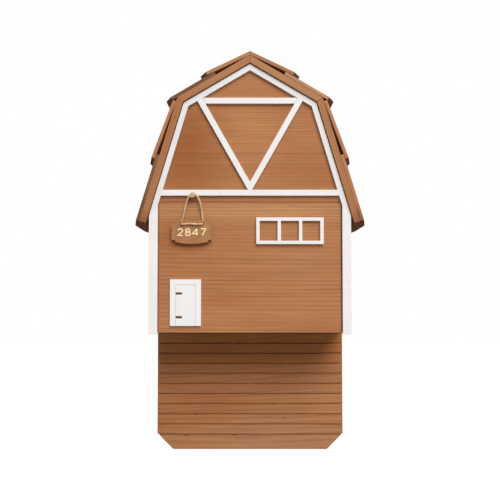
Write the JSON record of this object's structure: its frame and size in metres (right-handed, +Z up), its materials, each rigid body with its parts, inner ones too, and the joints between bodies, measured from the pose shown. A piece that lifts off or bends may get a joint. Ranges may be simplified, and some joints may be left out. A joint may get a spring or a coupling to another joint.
{
  "type": "bat box",
  "caption": "Barn-shaped wooden bat box with a lapped gambrel roof, roosting chambers open from below, white trim and a grooved landing board",
  "frame": {"origin": "on the backboard's flat rear face, on the centre line, level with the entrance under the body", "axes": "+Z up, +Y out of the rear face into the wall that holds the box, the front looks along -Y, +X to the right seen from the front"},
  "size_m": [0.3568, 0.1226, 0.6431],
  "materials": {
    "cedar_front": "planed and oiled western red cedar, level grain",
    "cedar_board": "planed and oiled western red cedar with sawn grooves",
    "cedar_baffle": "rough-sawn cedar",
    "cedar_roof": "planed cedar, front edges clear, ends sealed dark",
    "cedar_shingle": "sawn cedar shingle boards with dark ends",
    "white_paint": "wood painted satin white",
    "plaque": "raw fibreboard",
    "jute": "twisted natural jute",
    "steel": "bright wire nail"
  },
  "bodies": {
    "root": {"backboard": "cedar_board", "side_wall_left": "white_paint", "side_wall_right": "white_paint", "front_panel_lower": "cedar_front", "front_panel_upper": "cedar_front", "roost_baffle_rear": "cedar_baffle", "roost_baffle_front": "cedar_baffle", "roof_board_upper_left": "cedar_roof", "rake_upper_left": "white_paint", "roof_board_lower_left": "cedar_roof", "rake_lower_left": "white_paint", "shingle_ridge_left": "cedar_shingle", "shingle_knee_left": "cedar_shingle", "shingle_wall_left": "cedar_shingle", "shingle_eave_left": "cedar_shingle", "corner_strip_left": "white_paint", "brace_left": "white_paint", "roof_board_upper_right": "cedar_roof", "rake_upper_right": "white_paint", "roof_board_lower_right": "cedar_roof", "rake_lower_right": "white_paint", "shingle_ridge_right": "cedar_shingle", "shingle_knee_right": "cedar_shingle", "shingle_wall_right": "cedar_shingle", "shingle_eave_right": "cedar_shingle", "corner_strip_right": "white_paint", "brace_right": "white_paint", "collar_rail": "white_paint", "middle_rail": "white_paint", "window_frame": "white_paint", "door": "white_paint", "sign": "plaque", "sign_nail": "steel", "twine": "jute"}
  },
  "joints": []
}
